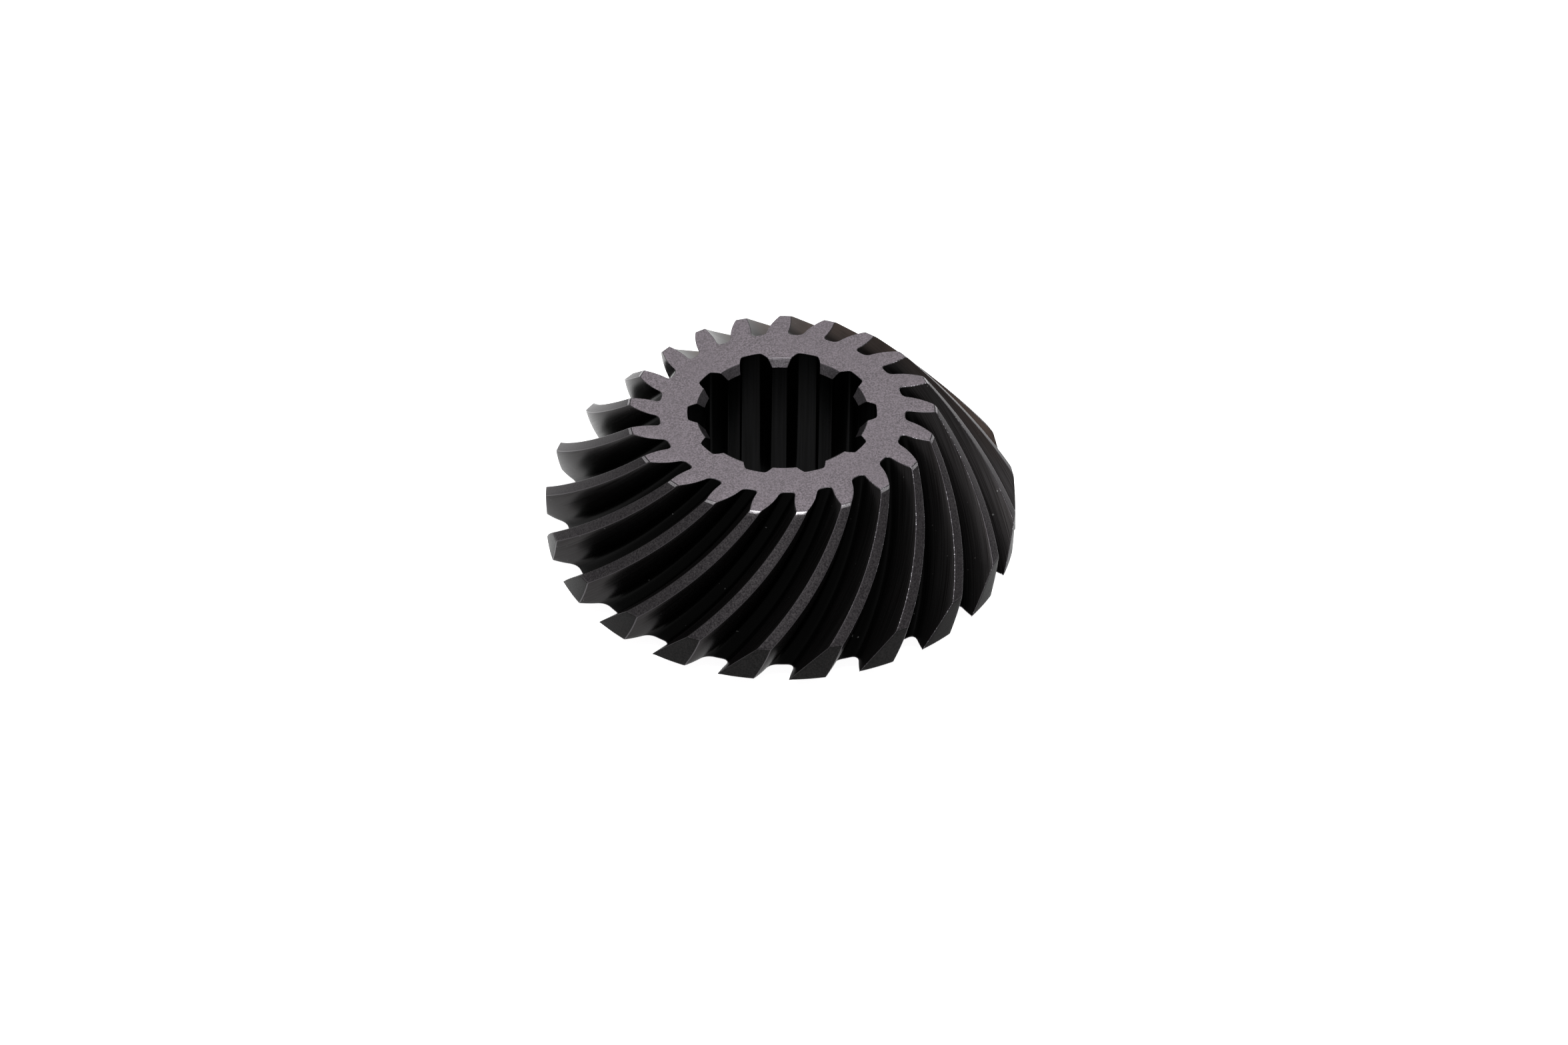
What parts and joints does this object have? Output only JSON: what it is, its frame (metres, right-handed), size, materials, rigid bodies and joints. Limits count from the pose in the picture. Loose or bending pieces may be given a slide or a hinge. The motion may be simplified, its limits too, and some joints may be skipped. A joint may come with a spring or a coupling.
{
  "type": "spiral bevel gear",
  "caption": "Spiral bevel gear cut from one piece of dark steel, with right-hand curved teeth, a flat front face, a short hub on its back and a splined through bore.",
  "frame": {"origin": "centre of the bore at the hub's flat face, on the wide heel side of the teeth", "axes": "+Z along the bore axis, from the hub's face towards the narrow front face; +X through the middle of a spline groove"},
  "size_m": [0.0502, 0.0502, 0.0174],
  "materials": {
    "steel": "matte dark grey, as heat-treated and lightly oiled"
  },
  "bodies": {
    "root": {"spiral_bevel_gear": "steel"}
  },
  "joints": []
}
